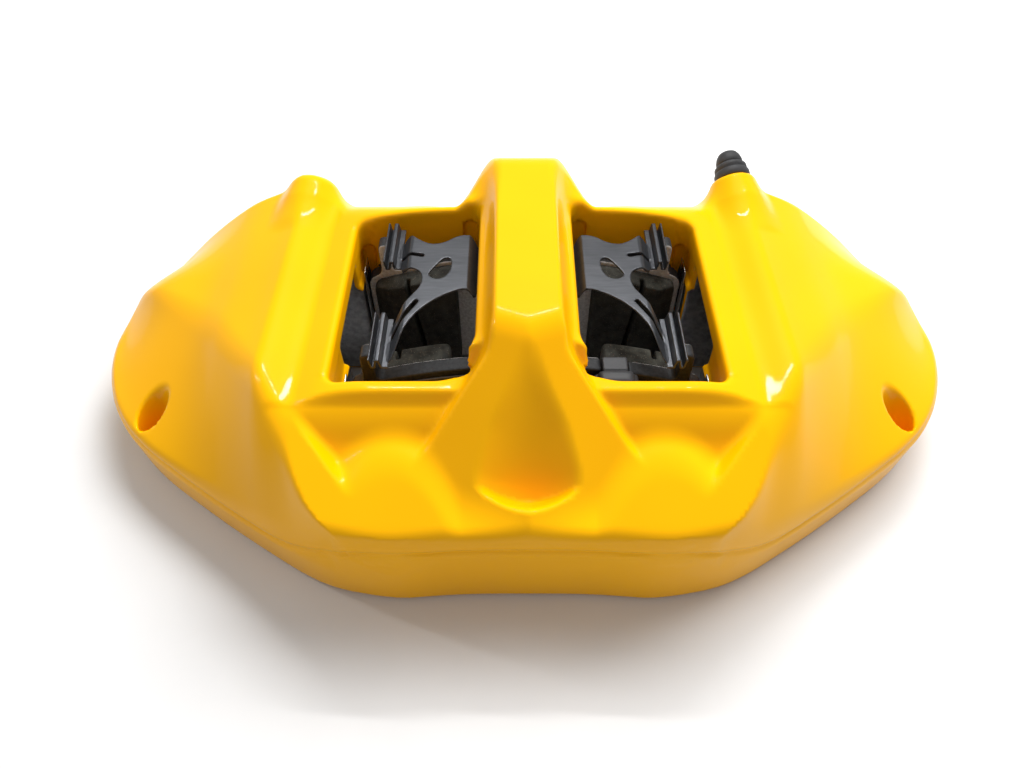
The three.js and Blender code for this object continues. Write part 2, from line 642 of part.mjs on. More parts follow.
for (const [endName, side] of ENDS) {
  caliper.add(part(`mount_insert_${endName}`, mountInsert(side), 'steel'));
}
caliper.add(part('crossover_plug', crossoverPlug(), 'steel'));
caliper.add(part('pad_spring', padSpring(), 'spring'));
caliper.add(part('wear_sensor', wearSensor(), 'plastic'));
caliper.add(part('bleed_screw', bleedScrew(), 'steel'));
caliper.add(part('bleed_cap', bleedCap(), 'rubber'));

// The origin: the middle of the bottom of the bounding box.
const box = new THREE.Box3().setFromObject(caliper);
const middle = box.getCenter(new THREE.Vector3());
caliper.position.set(-middle.x, -middle.y, -box.min.z);

export default caliper;
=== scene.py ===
"""A four-piston monobloc brake caliper, finished in gloss yellow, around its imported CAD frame.

Lengths are in millimetres and in the design frame: X along the disc's rim, Y from the disc's middle plane
towards the knuckle, Z radially outwards. A piece's mesh is moved to the row frame, in metres, as it is made.
Most pieces are signed distance fields: negative inside, cut and joined by smooth minimum and maximum.
"""
import math

import bpy
import numpy as np
import openvdb
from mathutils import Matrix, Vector


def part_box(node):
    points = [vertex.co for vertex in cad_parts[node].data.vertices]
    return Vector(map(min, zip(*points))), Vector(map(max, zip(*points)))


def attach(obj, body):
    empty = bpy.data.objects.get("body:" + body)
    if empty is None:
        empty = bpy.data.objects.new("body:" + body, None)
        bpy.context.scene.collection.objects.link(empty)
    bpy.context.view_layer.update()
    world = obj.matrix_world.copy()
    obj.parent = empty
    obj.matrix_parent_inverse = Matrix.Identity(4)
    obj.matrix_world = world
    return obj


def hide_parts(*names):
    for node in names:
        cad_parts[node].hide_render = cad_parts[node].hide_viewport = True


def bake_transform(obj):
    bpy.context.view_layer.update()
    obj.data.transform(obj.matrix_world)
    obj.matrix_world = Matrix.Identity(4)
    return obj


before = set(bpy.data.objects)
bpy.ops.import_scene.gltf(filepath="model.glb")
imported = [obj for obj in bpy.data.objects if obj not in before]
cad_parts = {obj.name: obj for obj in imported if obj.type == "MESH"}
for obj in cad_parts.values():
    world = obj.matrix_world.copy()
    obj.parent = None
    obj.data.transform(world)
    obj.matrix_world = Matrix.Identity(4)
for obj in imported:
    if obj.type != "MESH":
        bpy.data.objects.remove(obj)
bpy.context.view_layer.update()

MM = 0.001


def middle_of(node):
    """The middle of a CAD node's box, in millimetres in the row frame."""
    low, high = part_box(node)
    return [(low[i] + high[i]) / 2 / MM for i in range(3)]


# The middle plane of the disc, half way between the two backing plates.
DISC_Y = (middle_of("backing_plate_inboard")[1] + middle_of("backing_plate_outboard")[1]) / 2

# ---------- driving dimensions ----------
DISC_AXIS_Z = -123
SLOT_RADIUS = 193
SLOT_HALF_WIDTH = 20
RIM_RADIUS = 203
CROWN_RADIUS = 212
TIP_RADIUS = 225
BRIDGE_TOP = 89
BRIDGE_BOTTOM = 70
FRONT_Y = -92
REAR_Y = 67
BAY_MIDDLE_Y = -4
BAY_HALF_DEPTH = 40
BAY_HALF_LENGTH = 65
BORE_X = 44
BORE_Z = 32
BORE_RADIUS = 18
SEAT_RADIUS = 20.8
SEAT_DEPTH = 5
GROOVE_RADIUS = 20.6
GROOVE_WIDTH = 4.2
GROOVE_FROM_MOUTH = 8
LUG_X = 112
LUG_Z = 26
LUG_REAR_Y = 74
CROSSOVER_X = -82
CROSSOVER_Z = 57
GALLERY_Y = {"outboard": -66, "inboard": 50}
INLET_Z = 30
INLET_Y = 78
PLATE_INNER_Y = 26
PLATE_OUTER_Y = 32
PISTON_FACE_Y = 33
PISTON_RADIUS = 17.9
SENSOR_X = 31

# Right half of the plan, from the middle of the outboard face round the tip to the middle of the rear.
OUTLINE = [
    (0, FRONT_Y), (62, FRONT_Y), (75, -89), (102, -73.5), (137, -50), (152, -38), (163, -24),
    (171, -8), (174, 4), (174, 16), (171, 32), (164, 52), (154, REAR_Y), (0, REAR_Y),
]
EDGES = list(zip(OUTLINE[:-1], OUTLINE[1:]))
FRONT_EDGES = EDGES[:9]
# The ridge between the end bridges and the lobes, from the tip in to the lip.
RIDGE = [(170, 38), (138, 19), (97, -26), (66, -80)]
RIDGE_EDGES = list(zip(RIDGE[:-1], RIDGE[1:]))


# ---------- smooth blends of numpy arrays ----------
def smin(a, b, fillet):
    """The smaller of the two, blended over a fillet of that width."""
    h = np.maximum(fillet - np.abs(a - b), 0) / fillet
    return np.minimum(a, b) - h * h * fillet / 4


def smax(a, b, fillet):
    return -smin(-a, -b, fillet)


def step(a, b, t):
    """Rises smoothly from 0 where t is a to 1 where t is b."""
    t = np.clip((t - a) / (b - a), 0, 1)
    return t * t * (3 - 2 * t)


def mix(a, b, t):
    return a + (b - a) * t


def arch(radius, u):
    """Height, over x = u, of a circle about the disc's axis."""
    return DISC_AXIS_Z + np.sqrt(np.maximum(radius * radius - u * u, 1))


# ---------- distances ----------
def edges_distance(u, y, edges, blend):
    """Distance to a convex run of edges in the plan, negative inside."""
    far = None
    for (ax, ay), (bx, by) in edges:
        ex, ey = bx - ax, by - ay
        side = ((u - ax) * ey - (y - ay) * ex) / math.hypot(ex, ey)
        far = side if far is None else smax(far, side, blend)
    return far


def polygon(u, v, points):
    """Distance to a closed outline in a plane, negative inside."""
    u, v = np.broadcast_arrays(u, v)
    nearest = np.full(u.shape, 1e6)
    inside = np.zeros(u.shape, bool)
    for (au, av), (bu, bv) in zip(points, points[1:] + points[:1]):
        eu, ev = bu - au, bv - av
        t = np.clip(((u - au) * eu + (v - av) * ev) / (eu * eu + ev * ev), 0, 1)
        nearest = np.minimum(nearest, np.hypot(u - au - t * eu, v - av - t * ev))
        if av != bv:
            inside ^= ((av > v) != (bv > v)) & (u < eu * (v - av) / ev + au)
    return np.where(inside, -nearest, nearest)


def chain(u, v, points):
    """Distance in a plane to an open run of segments."""
    nearest = None
    for (au, av), (bu, bv) in zip(points[:-1], points[1:]):
        eu, ev = bu - au, bv - av
        t = np.clip(((u - au) * eu + (v - av) * ev) / (eu * eu + ev * ev), 0, 1)
        near = np.hypot(u - au - t * eu, v - av - t * ev)
        nearest = near if nearest is None else np.minimum(nearest, near)
    return nearest


def rounded(points, rounds=2):
    """The outline with its corners cut again and again, which leaves smooth curves."""
    for _ in range(rounds):
        cut = []
        for (au, av), (bu, bv) in zip(points, points[1:] + points[:1]):
            cut.append((0.75 * au + 0.25 * bu, 0.75 * av + 0.25 * bv))
            cut.append((0.25 * au + 0.75 * bu, 0.25 * av + 0.75 * bv))
        points = cut
    return points


def between(t, low, high):
    """Distance to a slab."""
    return np.abs(t - (low + high) / 2) - (high - low) / 2


def rounded_rectangle(du, dv, corner):
    """Distance in a plane to a rectangle with round corners, from its distances to the two slabs."""
    qu, qv = du + corner, dv + corner
    return np.hypot(np.maximum(qu, 0), np.maximum(qv, 0)) + np.minimum(np.maximum(qu, qv), 0) - corner


def along(x, y, z, base, direction):
    """Distance along an axis and distance from it."""
    (ax, ay, az), (ex, ey, ez) = base, direction
    t = (x - ax) * ex + (y - ay) * ey + (z - az) * ez
    square = (x - ax) ** 2 + (y - ay) ** 2 + (z - az) ** 2 - t * t
    return t, np.sqrt(np.maximum(square, 1e-6))


# ---------- the casting: its features ----------
BLEED_BASE = (89, 68, 66)
BLEED_AXIS = tuple(Vector((-0.10, 0.92, 0.38)).normalized())
BLEED_HOLE_RADIUS = 4.3
BLEED_HOLE_DEPTH = 14
BOSS_RADIUS = 8.4
POCKET_FLOOR = (143.5, -33, 17)
POCKET_AXIS = tuple(Vector((-0.12, 0.3, 0.94)).normalized())
POCKET_RADIUS = 5.9
POCKET_HOLE_RADIUS = 2.6
OUTBOARD_BORE_END = 76
INBOARD_BORE_END = 68
BORE_START = 30
HOUSING_RADIUS = 24
HUMP_RADIUS = 26.5
LUG_RADIUS = 19
LUG_FACE_RADIUS = 17.5
INSERT_HOLE_RADIUS = 9.3
INSERT_HOLE_END_Y = 53
INLET_RADIUS = 12
INLET_FACE_RADIUS = 10
INLET_HOLE_RADIUS = 4.3
INLET_HOLE_DEPTH = 14
PLUG_HOLE_RADIUS = 4.8
GALLERY_SEAT_Z = 8
CROSSOVER_SEAT_Y = 57.7
MACHINING_ALLOWANCE = 0.6
BEHIND_Y = 90
BAY_TOP = 58
WINDOW_FLOOR = 50
WINDOW_X = (17.5, 66.5)
WINDOW_Y = (-45, 37)
WINDOW_CORNER = 4
WINDOW_INNER_CORNER = 14
FLUTES = ((21.5, 66), (64.5, 54))
FLUTE_RADIUS = 3
LEAN_TOP = 40
LEAN = 0.075
CREASE_DEPTH = 1.2
CREASE_HALF_WIDTH = 1.5
HOUSING_BULGE = 1.6
HOUSING_BULGE_WIDTH = 16
LOBE_FOOT_Z = 25
LOBE_BULGE = 0.16
LIP = (96, -27)
LIP_ACROSS = (0.868, -0.496)
RECESS_FLOOR_Z = 49
BRIDGE_HALF_WIDTH = 11
BUTTRESS_Y = -42
BUTTRESS_TOP = 84
# A height or depth that is too far away to shape a surface.
OUT_OF_REACH = 20


def ramp(t, start, height, slope):
    """A height given at one place, with a steady slope from there."""
    return height + slope * (t - start)


def end_bridges(u, y):
    """Their tops stand a step above the rim round the windows, and swell towards the tips."""
    swell = step(115, 165, u) * step(66, 25, y)
    radius = mix(CROWN_RADIUS, TIP_RADIUS, swell) + 2.5 * step(95, 120, u)
    z = mix(arch(RIM_RADIUS, u), arch(radius, u), step(76, 93, u))
    return smax(z, ramp(u, 148, 27, -0.25), 6)


def lobes(z, u, y):
    """The lobes fall from the ridge to the crease, and are lower at their front inner corners."""
    depth = -edges_distance(u, y, FRONT_EDGES, 5)
    from_ridge = -edges_distance(u, y, RIDGE_EDGES, 14)
    t = smin((depth + 1) / np.maximum(1, depth + from_ridge), 1, 0.12)
    z = LOBE_FOOT_Z + (z - LOBE_FOOT_Z) * t * (1 + LOBE_BULGE - LOBE_BULGE * t)
    corner = ramp(y, -57, 64, 0.44) + OUT_OF_REACH * step(-54, -42, y)
    return smin(z, corner, 3)


def recess(u, y):
    """The floor between the lobes, its slopes up to the rim and to the lobes, and the housings' humps."""
    floor = RECESS_FLOOR_Z + 3 * step(20, 34, u)
    shelf = 69.8 + OUT_OF_REACH * np.maximum(step(-43, -34, y), step(72, 84, u))
    rim_slope = smin(ramp(y, -51, 70, 1.15), shelf, 2)
    past_lip = (u - LIP[0]) * LIP_ACROSS[0] + (y - LIP[1]) * LIP_ACROSS[1]
    lobe_slope = floor + 1.9 * (past_lip + 9)
    z = smax(smax(floor, rim_slope, 6), lobe_slope, 7)
    hump = BORE_Z + np.sqrt(np.maximum(HUMP_RADIUS**2 - (u - BORE_X) ** 2, 1))
    return smax(z, hump, 4)


def bridge(u, y):
    """The bridge, and the buttress at its foot with flat triangular sides."""
    flare = 2.7 - 1.55 * step(15, 50, y)
    flank = BRIDGE_TOP - flare * (u - BRIDGE_HALF_WIDTH)
    facet = ramp(u, BRIDGE_HALF_WIDTH, BUTTRESS_TOP, -0.3125) + 0.78 * (y - BUTTRESS_Y)
    foot = ramp(u, BRIDGE_HALF_WIDTH, BUTTRESS_TOP, -1.78) - 0.58 * (y - BUTTRESS_Y)
    sides = mix(foot, flank, step(-47, -37, y))
    return smin(smin(BRIDGE_TOP, facet, 4), sides, 2.5)


def scoop(u, y):
    """The scoop down the middle of the buttress, hollow across."""
    middle = smax(ramp(y, -47, 83, 1.3), 44 + 1.2 * np.maximum(0, -77 - y), 6)
    return middle + (0.038 + 0.05 * step(-64, -44, y)) * u * u


def rear_fall(u, y):
    """The rear falls away behind the windows."""
    beside_windows = 24 * (1 - step(12, 28, u)) + OUT_OF_REACH * step(72, 90, u)
    return ramp(y, 42, 72.6, -0.76) + beside_windows


def crown(u, y):
    """Height of the cast upper surface over the plan."""
    z = lobes(end_bridges(u, y), u, y)
    z = smin(z, recess(u, y), 3)
    z = smax(z, bridge(u, y), 5)
    z = smin(z, scoop(u, y), 3)
    return smin(z, rear_fall(u, y), 5)


def upper_side(u, y, z):
    """Distance to the crown, from the height above it and its slope."""
    top = crown(u, y)
    reach = 0.5
    slope = np.hypot(crown(u + reach, y) - top, crown(u, y + reach) - top) / reach
    return (z - top) / np.sqrt(1 + slope * slope)


def plan_wall(u, y, z):
    """The wall round the plan. In front it leans in towards its foot and is grooved along the crease."""
    front = step(20, -10, y)
    bulge = HOUSING_BULGE * np.exp(-(((u - 45) / HOUSING_BULGE_WIDTH) ** 2)) * front
    lean = LEAN * np.maximum(LEAN_TOP - z, 0) * front
    crease_z = 38 - 14 * step(48, 92, u)
    groove = CREASE_DEPTH * np.exp(-(((z - crease_z) / CREASE_HALF_WIDTH) ** 2)) * front
    return edges_distance(u, y, EDGES, 5) - bulge + lean + groove


def with_bosses(body, x, y, z):
    """Adds the inboard housings, the lugs, the inlet boss and the two raised bosses."""
    u = np.abs(x)
    radial = np.hypot(u - BORE_X, z - BORE_Z)
    housing = smax(radial - HOUSING_RADIUS + 10 * step(60, 73, y), between(y, 32, 72), 4)
    body = smin(body, smax(housing, -z, 2), 5)
    rear = LUG_REAR_Y + MACHINING_ALLOWANCE
    lug = smax(np.hypot(u - LUG_X, z - LUG_Z) - LUG_RADIUS, between(y, 38, rear), 1.5)
    body = smin(body, lug, 4)
    rear = INLET_Y + MACHINING_ALLOWANCE
    inlet = smax(np.hypot(x, z - INLET_Z) - INLET_RADIUS, between(y, 40, rear), 1.5)
    body = smin(body, inlet, 4)
    t, radial = along(u, y, z, BLEED_BASE, BLEED_AXIS)
    tapered = radial - BOSS_RADIUS + 0.14 * np.clip(t, -12, 0)
    # The blind boss on the left has a rounder end than the right one.
    boss = smax(tapered, between(t, -26, -0.5), mix(5, 1.5, step(-1, 1, x)))
    return smin(body, boss, 6)


def window(u, y):
    """Plan of a window: its front inner corner has a larger radius."""
    plain = rounded_rectangle(between(u, *WINDOW_X), between(y, *WINDOW_Y), WINDOW_CORNER)
    corner_x = WINDOW_X[0] + WINDOW_INNER_CORNER
    corner_y = WINDOW_Y[0] + WINDOW_INNER_CORNER
    corner = np.hypot(u - corner_x, y - corner_y) - WINDOW_INNER_CORNER
    at_corner = (u < corner_x) & (y < corner_y)
    return np.maximum(plain, np.where(at_corner, corner, -OUT_OF_REACH))


def disc_slot(x, y, z):
    """The slot that the disc runs in."""
    return smax(np.hypot(x, z - DISC_AXIS_Z) - SLOT_RADIUS, np.abs(y) - SLOT_HALF_WIDTH, 1)


def pad_bay(u, y, z):
    """The bay that the pads slide in, lower at its ends."""
    top = mix(BRIDGE_BOTTOM, BAY_TOP, step(58, 64, u))
    plan = smax(u - BAY_HALF_LENGTH, np.abs(y - BAY_MIDDLE_Y) - BAY_HALF_DEPTH, 2)
    return smax(plan, z - top, 3)


def with_openings(body, x, y, z):
    """Cuts the disc slot, the pad bay, the windows and the flutes in each window's rear wall."""
    u = np.abs(x)
    body = smax(body, -disc_slot(x, y, z), 2)
    body = smax(body, -pad_bay(u, y, z), 1.5)
    body = smax(body, -smax(window(u, y), WINDOW_FLOOR - z, 1), 3.2)
    for flute_x, flute_top in FLUTES:
        across = np.hypot(u - flute_x, np.maximum(z - flute_top, 0)) - FLUTE_RADIUS
        flute = smax(across, between(y, 30, 39.5), 1)
        body = smax(body, -flute, 0.8)
    return body


def with_pockets(body, x, y, z):
    """Cuts the tips' tilted pockets, the small hole in each one's floor, and hollows under the corners."""
    u = np.abs(x)
    t, radial = along(u, y, z, POCKET_FLOOR, POCKET_AXIS)
    body = smax(body, -smax(radial - POCKET_RADIUS, -t, 1.5), 1.6)
    drilled = np.hypot(u - POCKET_FLOOR[0], y - POCKET_FLOOR[1]) - POCKET_HOLE_RADIUS
    body = smax(body, -smax(drilled, z - POCKET_FLOOR[2] - 3, 1), 0.8)
    hollow = rounded_rectangle(between(u, 92, 114), between(np.abs(y + 5.5), 33.5, 51.5), 5)
    return smax(body, -smax(hollow, z - 14, 4), 1.5)


def bores(x, y, z):
    """The four piston bores, each with a boot seat at its mouth and a seal groove."""
    radial = np.hypot(np.abs(x) - BORE_X, z - BORE_Z)
    v = np.abs(y - BAY_MIDDLE_Y)
    end = np.where(y > 0, INBOARD_BORE_END, OUTBOARD_BORE_END)
    plain = smax(radial - BORE_RADIUS, np.maximum(v - end, BORE_START - v), 1)
    seat = smax(radial - SEAT_RADIUS, between(v, BORE_START, BAY_HALF_DEPTH + SEAT_DEPTH), 0.6)
    groove_end = GROOVE_FROM_MOUTH + GROOVE_WIDTH
    in_groove = between(v - BAY_HALF_DEPTH, GROOVE_FROM_MOUTH, groove_end)
    groove = smax(radial - GROOVE_RADIUS, in_groove, 0.6)
    return np.minimum(plain, np.minimum(seat, groove))


def machined(x, y, z):
    """Everything a cutter takes out of the casting after painting."""
    u = np.abs(x)
    lug_radial = np.hypot(u - LUG_X, z - LUG_Z)
    inlet_radial = np.hypot(x, z - INLET_Z)
    crossover_radial = np.hypot(x - CROSSOVER_X, z - CROSSOVER_Z)
    t, bleed_radial = along(x, y, z, BLEED_BASE, BLEED_AXIS)
    cuts = [
        bores(x, y, z),
        smax(lug_radial - INSERT_HOLE_RADIUS, between(y, INSERT_HOLE_END_Y, BEHIND_Y), 1),
        smax(lug_radial - LUG_FACE_RADIUS, LUG_REAR_Y - y, 1),
        smax(inlet_radial - INLET_HOLE_RADIUS, between(y, INLET_Y - INLET_HOLE_DEPTH, INLET_Y + 9), 1),
        smax(inlet_radial - INLET_FACE_RADIUS, INLET_Y - y, 1),
        smax(crossover_radial - PLUG_HOLE_RADIUS, between(y, CROSSOVER_SEAT_Y, BEHIND_Y), 1),
        smax(bleed_radial - BLEED_HOLE_RADIUS, -BLEED_HOLE_DEPTH - t, 1),
    ]
    for gallery_y in GALLERY_Y.values():
        drilled = np.hypot(x - CROSSOVER_X, y - gallery_y) - PLUG_HOLE_RADIUS
        cuts.append(smax(drilled, z - GALLERY_SEAT_Z, 1))
    nearest = cuts[0]
    for cut in cuts[1:]:
        nearest = np.minimum(nearest, cut)
    return nearest


def machined_and_painted_shade(x, y, z):
    """The machined surfaces, and those that the pads and the disc run in; these insides are left bare grey
    as painted shade for the dark inside of the caliper.
    """
    inside = np.minimum(disc_slot(x, y, z), pad_bay(np.abs(x), y, z))
    # Below z 62 the pad bay and the disc slot are left bare grey as painted shade for the dark inside of the
    # caliper.
    return np.minimum(machined(x, y, z), smax(inside, z - 62, 1))


def casting(x, y, z):
    """The monobloc casting."""
    u = np.abs(x)
    body = smax(upper_side(u, y, z), plan_wall(u, y, z), 4)
    body = smax(body, -z, 3)
    body = with_bosses(body, x, y, z)
    body = with_openings(body, x, y, z)
    body = with_pockets(body, x, y, z)
    return smax(body, -machined(x, y, z), 0.8)


# ---------- the mesh of a field ----------
def field_slope(field, points, reach):
    """The field's gradient at the points."""
    columns = []
    for axis in range(3):
        shift = np.zeros(3)
        shift[axis] = reach
        columns.append(field(*(points + shift).T) - field(*(points - shift).T))
    return np.stack(columns, axis=1) / (2 * reach)


def skin(name, field, low, high, pitch):
    """Meshes a field inside a box: a net through its grid, then each vertex pulled onto the surface."""
    pitch = np.broadcast_to(np.array(pitch, np.float32), 3)
    low = np.array(low, np.float32)
    counts = np.ceil((np.array(high) - low) / pitch).astype(int) + 1
    x, y, z = (low[i] + pitch[i] * np.arange(counts[i], dtype=np.float32) for i in range(3))
    values = field(x[:, None, None], y[None, :, None], z[None, None, :])
    edge = 4 * float(pitch.max())
    values = np.clip(np.broadcast_to(values, counts), -edge, edge)
    grid = openvdb.FloatGrid(background=edge)
    grid.copyFromArray(np.ascontiguousarray(values, dtype=np.float32))
    net, triangles, quads = grid.convertToPolygons(isovalue=0.0, adaptivity=0.0)
    points = low + net * pitch
    reach = float(pitch.min()) / 4
    for _ in range(2):
        slope = field_slope(field, points, reach)
        pull = field(*points.T) / ((slope**2).sum(axis=1) + 1e-6)
        pull = np.clip(pull, -pitch.min(), pitch.min())
        points = points - pull[:, None] * slope
    normals = field_slope(field, points, reach)
    normals /= np.linalg.norm(normals, axis=1, keepdims=True) + 1e-9
    mesh = bpy.data.meshes.new(name)
    placed = (points + np.array([0, DISC_Y, 0])) * MM
    mesh.from_pydata(placed.tolist(), [], quads.tolist() + triangles.tolist())
    mesh.update()
    mesh.polygons.foreach_set("use_smooth", np.ones(len(mesh.polygons), bool))
    mesh.normals_split_custom_set_from_vertices(normals.tolist())
    piece = bpy.data.objects.new(name, mesh)
    bpy.context.scene.collection.objects.link(piece)
    return piece


# ---------- the mesh of a turned piece ----------
def turned(name, profile, base, direction, segments=96, sharp=32):
    """A closed (radius, height) profile turned about an axis; a point on the axis has radius 0."""
    turn = Vector((0, 0, 1)).rotation_difference(Vector(direction)).to_matrix()
    origin = Vector(base) + Vector((0, DISC_Y, 0))
    vertices, faces, rings = [], [], []
    for radius, height in profile:
        count = segments if radius > 0 else 1
        rings.append([len(vertices) + i for i in range(count)])
        for i in range(count):
            angle = 2 * math.pi * i / count
            flat = Vector((radius * math.cos(angle), radius * math.sin(angle), height))
            vertices.append((origin + turn @ flat) * MM)
    # A profile that starts away from the axis closes on itself.
    closing = rings[:1] if profile[0][0] > 0 else []
    for a, b in zip(rings, rings[1:] + closing):
        for i in range(segments):
            quad = [a[i % len(a)], a[(i + 1) % len(a)], b[(i + 1) % len(b)], b[i % len(b)]]
            corners = list(dict.fromkeys(quad))
            if len(corners) > 2:
                faces.append(corners)
    mesh = bpy.data.meshes.new(name)
    mesh.from_pydata(vertices, [], faces)
    mesh.update()
    mesh.polygons.foreach_set("use_smooth", np.ones(len(mesh.polygons), bool))
    mesh.set_sharp_from_angle(angle=math.radians(sharp))
    piece = bpy.data.objects.new(name, mesh)
    bpy.context.scene.collection.objects.link(piece)
    return piece


def fitted(piece, body, node, material):
    """The piece rides on its body, stands for its CAD node and gets its material."""
    piece.data.materials.append(material)
    if body:
        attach(piece, body)
    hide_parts(node)
    return piece


# ---------- materials ----------
def blank(name, roughness, metallic=0.0, **sockets):
    """A material with its uniform values on the shader's own sockets."""
    material = bpy.data.materials.new(name)
    material.use_nodes = True
    shader = material.node_tree.nodes["Principled BSDF"]
    shader.inputs["Roughness"].default_value = roughness
    shader.inputs["Metallic"].default_value = metallic
    for socket, value in sockets.items():
        shader.inputs[socket.replace("_", " ")].default_value = value
    return material, material.node_tree, shader


def feed(tree, socket, value):
    """Links another node's output to the socket, or sets the socket to the value."""
    if isinstance(value, bpy.types.NodeSocket):
        tree.links.new(value, socket)
    else:
        socket.default_value = value


def add(tree, kind, **inputs):
    node = tree.nodes.new(kind)
    for name, value in inputs.items():
        feed(tree, node.inputs[name.replace("_", " ")], value)
    return node


def compute(tree, operation, *values):
    node = tree.nodes.new("ShaderNodeMath")
    node.operation = operation
    for socket, value in zip(node.inputs, values):
        feed(tree, socket, value)
    return node.outputs["Value"]


def either(tree, factor, first, second):
    """The first colour where the factor is 0 and the second where it is 1."""
    node = tree.nodes.new("ShaderNodeMix")
    node.data_type = "RGBA"
    tree.links.new(factor, node.inputs["Factor"])
    first_colour, second_colour = [socket for socket in node.inputs if socket.type == "RGBA"]
    feed(tree, first_colour, first)
    feed(tree, second_colour, second)
    return next(socket for socket in node.outputs if socket.type == "RGBA")


def grain(tree, scale, detail=4.0, stretch=(1, 1, 1)):
    """Noise in the object's own space; scale is in features per metre."""
    place = add(tree, "ShaderNodeTexCoord")
    stretched = add(tree, "ShaderNodeMapping", Vector=place.outputs["Object"], Scale=stretch)
    noise = add(tree, "ShaderNodeTexNoise", Vector=stretched.outputs["Vector"], Scale=scale,
                Detail=detail, Roughness=0.55)
    return noise.outputs["Fac"]


def blend_colours(tree, factor, low, high, start=0.35, end=0.65):
    ramp_node = add(tree, "ShaderNodeValToRGB", Fac=factor)
    first, last = ramp_node.color_ramp.elements
    first.position = start
    first.color = (*low, 1)
    last.position = end
    last.color = (*high, 1)
    return ramp_node.outputs["Color"]


def spread(tree, factor, low, high):
    return add(tree, "ShaderNodeMapRange", Value=factor, To_Min=low, To_Max=high).outputs["Result"]


def bump(tree, shader, height, strength, distance):
    node = add(tree, "ShaderNodeBump", Height=height, Strength=strength, Distance=distance)
    tree.links.new(node.outputs["Normal"], shader.inputs["Normal"])


def two_tone(name, low, high, scale, roughness, metallic=0.0, relief=0.3, stretch=(1, 1, 1)):
    """A surface whose colour, roughness and fine relief all follow the same grain."""
    material, tree, shader = blank(name, roughness[0], metallic)
    fine = grain(tree, scale, stretch=stretch)
    broad = grain(tree, scale / 9, 2.0, stretch)
    tone = compute(tree, "MULTIPLY_ADD", fine, 0.6, compute(tree, "MULTIPLY", broad, 0.4))
    tree.links.new(blend_colours(tree, tone, low, high), shader.inputs["Base Color"])
    tree.links.new(spread(tree, fine, *roughness), shader.inputs["Roughness"])
    bump(tree, shader, fine, relief, 0.0001)
    return material


def paint_finish():
    """Gloss yellow lacquer with a faint orange peel; dark bare aluminium where the casting is machined, and
    the same grey inside the pad bay and disc slot as painted shade.
    """
    material, tree, shader = blank("paint", 0.4, Coat_Weight=0.35, Coat_Roughness=0.03, Coat_IOR=1.35,
                                   Specular_IOR_Level=0.05)
    depth = add(tree, "ShaderNodeAttribute")
    depth.attribute_name = "bare"
    bare = compute(tree, "GREATER_THAN", depth.outputs["Fac"], 0.0)
    yellow = blend_colours(tree, grain(tree, 14, 2.0), (0.88, 0.415, 0.0), (0.92, 0.445, 0.0))
    # Dark grey for machined aluminium, also used as painted shade inside the pad bay and disc slot.
    bare_and_shade_grey = blend_colours(tree, grain(tree, 500), (0.30, 0.30, 0.31), (0.46, 0.46, 0.47))
    tree.links.new(either(tree, bare, yellow, bare_and_shade_grey), shader.inputs["Base Color"])
    tree.links.new(bare, shader.inputs["Metallic"])
    tree.links.new(spread(tree, grain(tree, 60), 0.32, 0.42), shader.inputs["Roughness"])
    bump(tree, shader, grain(tree, 420, 2.0), 0.05, 0.00012)
    return material


def plate_finish():
    """Black-coated backing plate with a bare blasted face towards the disc, between the linings."""
    material, tree, shader = blank("pad_plate", 0.5, 0.2)
    fine = grain(tree, 900)
    place = add(tree, "ShaderNodeTexCoord")
    split = add(tree, "ShaderNodeSeparateXYZ", Vector=place.outputs["Object"])
    from_disc = compute(tree, "ABSOLUTE", compute(tree, "SUBTRACT", split.outputs["Y"], DISC_Y * MM))
    near = compute(tree, "LESS_THAN", from_disc, (PLATE_INNER_Y + 0.35) * MM)
    dark = blend_colours(tree, fine, (0.012, 0.013, 0.014), (0.03, 0.031, 0.033))
    bare = blend_colours(tree, fine, (0.50, 0.48, 0.46), (0.72, 0.70, 0.68))
    tree.links.new(either(tree, near, dark, bare), shader.inputs["Base Color"])
    tree.links.new(spread(tree, fine, 0.42, 0.62), shader.inputs["Roughness"])
    bump(tree, shader, fine, 0.35, 0.00015)
    return material


def lining_finish():
    """Moulded friction compound: dark olive grey, with pale coppery flecks."""
    material, tree, shader = blank("friction", 0.9)
    place = add(tree, "ShaderNodeTexCoord")
    cells = add(tree, "ShaderNodeTexVoronoi", Vector=place.outputs["Object"], Scale=1100)
    fleck = blend_colours(tree, cells.outputs["Distance"], (1, 1, 1), (0, 0, 0), 0.10, 0.22)
    base = blend_colours(tree, grain(tree, 260, 6.0), (0.011, 0.011, 0.009), (0.038, 0.038, 0.031))
    flecked = either(tree, fleck, base, (0.12, 0.105, 0.085, 1))
    tree.links.new(flecked, shader.inputs["Base Color"])
    tree.links.new(spread(tree, grain(tree, 500), 0.75, 0.95), shader.inputs["Roughness"])
    bump(tree, shader, grain(tree, 700, 6.0), 0.7, 0.0004)
    return material


PAINT = paint_finish()
PLATE = plate_finish()
LINING = lining_finish()
SHIM = two_tone("shim", (0.10, 0.10, 0.105), (0.17, 0.17, 0.175), 700, (0.35, 0.5), 0.6, relief=0.1)
SPRING = two_tone("spring_steel", (0.055, 0.058, 0.064), (0.085, 0.088, 0.096), 900, (0.27, 0.36), 0.75,
                  relief=0.06, stretch=(0.15, 1, 1))
RUBBER = two_tone("rubber", (0.022, 0.022, 0.023), (0.040, 0.040, 0.042), 600, (0.48, 0.66), relief=0.2)
PLASTIC = two_tone("plastic", (0.022, 0.023, 0.025), (0.036, 0.037, 0.040), 800, (0.40, 0.52), relief=0.12)
ZINC = two_tone("zinc_plate", (0.42, 0.42, 0.40), (0.62, 0.61, 0.57), 350, (0.25, 0.42), 1.0, relief=0.12)
STAINLESS = two_tone("stainless", (0.46, 0.46, 0.46), (0.60, 0.60, 0.60), 800, (0.22, 0.34), 1.0,
                     relief=0.08, stretch=(1, 1, 0.08))
